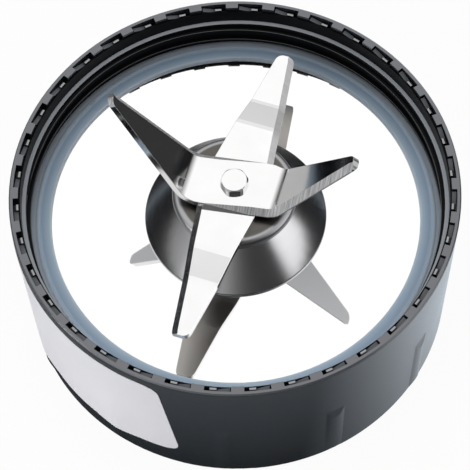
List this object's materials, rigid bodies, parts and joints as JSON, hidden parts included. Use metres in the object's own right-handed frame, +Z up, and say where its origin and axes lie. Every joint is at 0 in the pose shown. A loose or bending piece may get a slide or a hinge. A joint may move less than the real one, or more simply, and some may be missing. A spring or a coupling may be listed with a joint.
{
  "type": "blender blade assembly",
  "caption": "Ribbed screw collar with a steel base plate, silicone gasket and a bell hub that carries crossed bent blades on a spinning shaft with a drive coupling below.",
  "frame": {"origin": "centre of the collar's bottom edge", "axes": "+Z up along the blade shaft, out of the jar mouth; +X and +Y across the collar"},
  "size_m": [0.1, 0.1, 0.0692],
  "materials": {
    "collar_plastic": "satin moulded",
    "body_plastic": "gloss moulded",
    "silicone": "translucent satin",
    "polished_steel": "mirror polished",
    "blade_steel": "fine brushed",
    "plain_steel": "plain",
    "bronze": "sintered",
    "seal_rubber": "matte",
    "felt": "oiled felt",
    "washer_nylon": "natural",
    "coupling_nylon": "moulded"
  },
  "bodies": {
    "collar": {"outer_collar": "collar_plastic", "threaded_body": "body_plastic", "rim_gasket": "silicone", "base_plate": "polished_steel", "hub_housing": "polished_steel", "flange_oring": "seal_rubber", "lock_washer": "plain_steel", "hub_nut": "plain_steel", "shaft_seal": "seal_rubber", "seal_spring": "plain_steel", "upper_bush": "bronze", "lower_bush": "bronze", "oil_felt": "felt"},
    "rotor": {"shaft": "blade_steel", "slinger_washer": "plain_steel", "lower_blade": "blade_steel", "upper_blade": "blade_steel", "upper_thrust_washer": "washer_nylon", "lower_thrust_washer": "washer_nylon", "circlip": "plain_steel", "drive_coupling": "coupling_nylon", "coupling_insert": "plain_steel", "coupling_washer": "plain_steel", "coupling_screw": "plain_steel"}
  },
  "joints": [
    {"name": "rotor_spin", "type": "hinge", "parent": "collar", "child": "rotor", "pos_m": [0, 0, 0.025], "axis": [0, 0, 1], "continuous": true}
  ]
}
